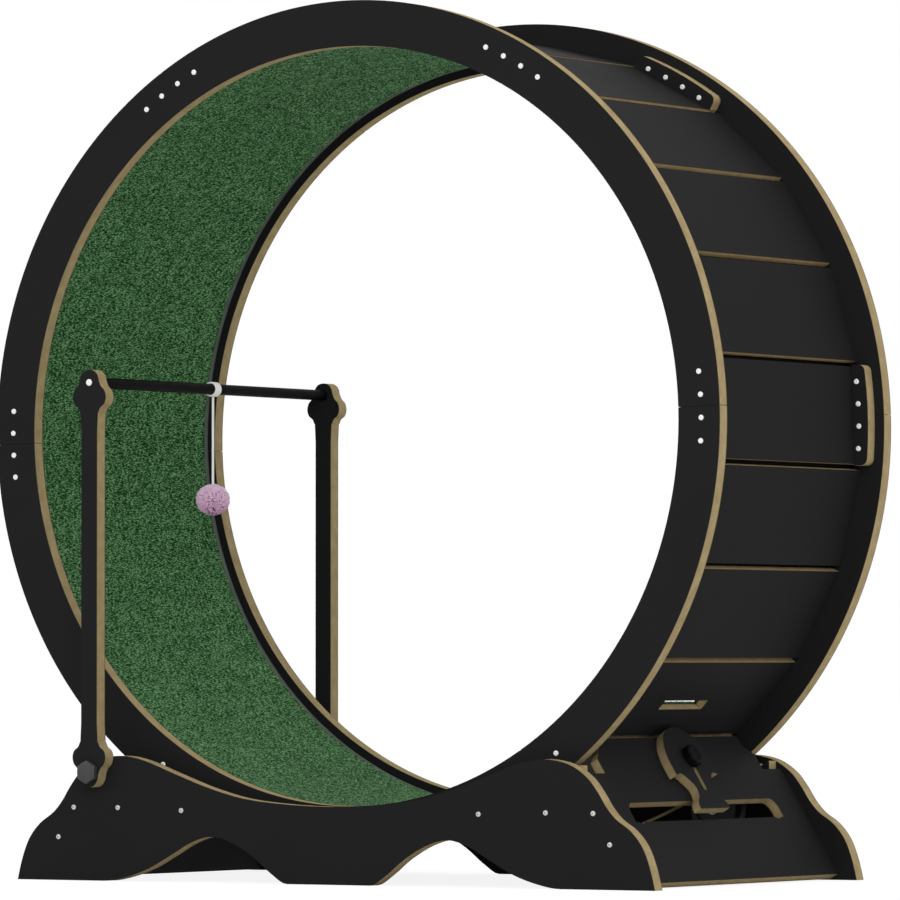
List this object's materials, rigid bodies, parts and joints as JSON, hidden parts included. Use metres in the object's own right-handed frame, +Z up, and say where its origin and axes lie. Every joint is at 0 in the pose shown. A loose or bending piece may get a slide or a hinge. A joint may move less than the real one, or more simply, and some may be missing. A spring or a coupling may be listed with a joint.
{
  "type": "cat exercise wheel",
  "caption": "Large running wheel of planks and carpet between board rings, on grooved rollers in a low board base, with a lock latch and a tilting frame that hangs a pom-pom toy.",
  "frame": {"origin": "on the floor, below the middle of the wheel", "axes": "+X along the base towards the lock latch, +Y along the wheel's axis away from the viewer, +Z up"},
  "size_m": [1, 0.5522, 1.037],
  "materials": {
    "board": "black laminated faces with raw tan fibreboard edges",
    "carpet": "short loop pile, flecked green",
    "white_screw": "semi-gloss white",
    "zinc": "zinc plated",
    "black_steel": "black oxide",
    "black_plastic": "satin moulded",
    "nylon": "satin turned",
    "white_plastic": "gloss",
    "string": "twisted cotton",
    "pompom": "fluffy yarn, lilac"
  },
  "bodies": {
    "base": {"front_side_plate": "board", "rear_side_plate": "board", "left_end_panel": "board", "right_end_panel": "board", "roller_brackets": "board", "base_screws": "white_screw", "bolts_and_nuts": "zinc", "frame_bolts": "black_steel"},
    "wheel": {"front_ring_1": "board", "front_ring_2": "board", "front_ring_3": "board", "front_ring_4": "board", "front_ring_5": "board", "front_ring_6": "board", "rear_ring_1": "board", "rear_ring_2": "board", "rear_ring_3": "board", "rear_ring_4": "board", "rear_ring_5": "board", "rear_ring_6": "board", "plank_1": "board", "plank_2": "board", "plank_3": "board", "plank_4": "board", "plank_5": "board", "plank_6": "board", "plank_7": "board", "plank_8": "board", "plank_9": "board", "plank_10": "board", "plank_11": "board", "plank_12": "board", "plank_13": "board", "plank_14": "board", "plank_15": "board", "plank_16": "board", "plank_17": "board", "plank_18": "board", "plank_19": "board", "plank_20": "board", "plank_21": "board", "plank_22": "board", "plank_23": "board", "plank_24": "board", "splice_plates": "board", "ring_screws": "white_screw", "carpet": "carpet"},
    "roller_front_left": {"roller_front_left": "nylon"},
    "roller_front_right": {"roller_front_right": "nylon"},
    "roller_rear_left": {"roller_rear_left": "nylon"},
    "roller_rear_right": {"roller_rear_right": "nylon"},
    "latch": {"lock_latch": "board"},
    "knob": {"lock_knob": "black_plastic"},
    "toy_frame": {"front_post": "board", "rear_post": "board", "toy_bar": "board", "bar_screws": "white_screw"},
    "toy_slider": {"toy_ring": "white_plastic"},
    "toy_pendulum": {"toy_string": "string", "pompom": "pompom"}
  },
  "joints": [
    {"name": "wheel_spin", "type": "hinge", "parent": "base", "child": "wheel", "pos_m": [0, 0, 0.537], "axis": [0, 1, 0], "continuous": true},
    {"name": "front_left_roller_spin", "type": "hinge", "parent": "base", "child": "roller_front_left", "pos_m": [-0.27, -0.1985, 0.08523], "axis": [0, 1, 0], "continuous": true},
    {"name": "front_right_roller_spin", "type": "hinge", "parent": "base", "child": "roller_front_right", "pos_m": [0.27, -0.1985, 0.08523], "axis": [0, 1, 0], "continuous": true},
    {"name": "rear_left_roller_spin", "type": "hinge", "parent": "base", "child": "roller_rear_left", "pos_m": [-0.27, 0.1985, 0.08523], "axis": [0, 1, 0], "continuous": true},
    {"name": "rear_right_roller_spin", "type": "hinge", "parent": "base", "child": "roller_rear_right", "pos_m": [0.27, 0.1985, 0.08523], "axis": [0, 1, 0], "continuous": true},
    {"name": "latch_slide", "type": "slide", "parent": "base", "child": "latch", "axis": [-0.527, 0, 0.8499], "range_m": [-0.0088, 0.0015]},
    {"name": "knob_turn", "type": "hinge", "parent": "base", "child": "knob", "pos_m": [0.32663, 0, 0.13768], "axis": [0.8499, 0, 0.527], "range_deg": [0, 360]},
    {"name": "frame_tilt", "type": "hinge", "parent": "base", "child": "toy_frame", "pos_m": [-0.3245, 0, 0.129], "axis": [0, 1, 0], "range_deg": [-4, 45]},
    {"name": "toy_slide", "type": "slide", "parent": "toy_frame", "child": "toy_slider", "axis": [0, 1, 0], "range_m": [-0.228, 0.228]},
    {"name": "toy_swing", "type": "hinge", "parent": "toy_slider", "child": "toy_pendulum", "pos_m": [-0.3245, 0, 0.592], "axis": [0, 1, 0], "range_deg": [-40, 28]}
  ],
  "couplings": [
    {"joint": "front_left_roller_spin", "follows": "wheel_spin", "ratio": -19.231},
    {"joint": "front_right_roller_spin", "follows": "wheel_spin", "ratio": -19.231},
    {"joint": "rear_left_roller_spin", "follows": "wheel_spin", "ratio": -19.231},
    {"joint": "rear_right_roller_spin", "follows": "wheel_spin", "ratio": -19.231}
  ]
}
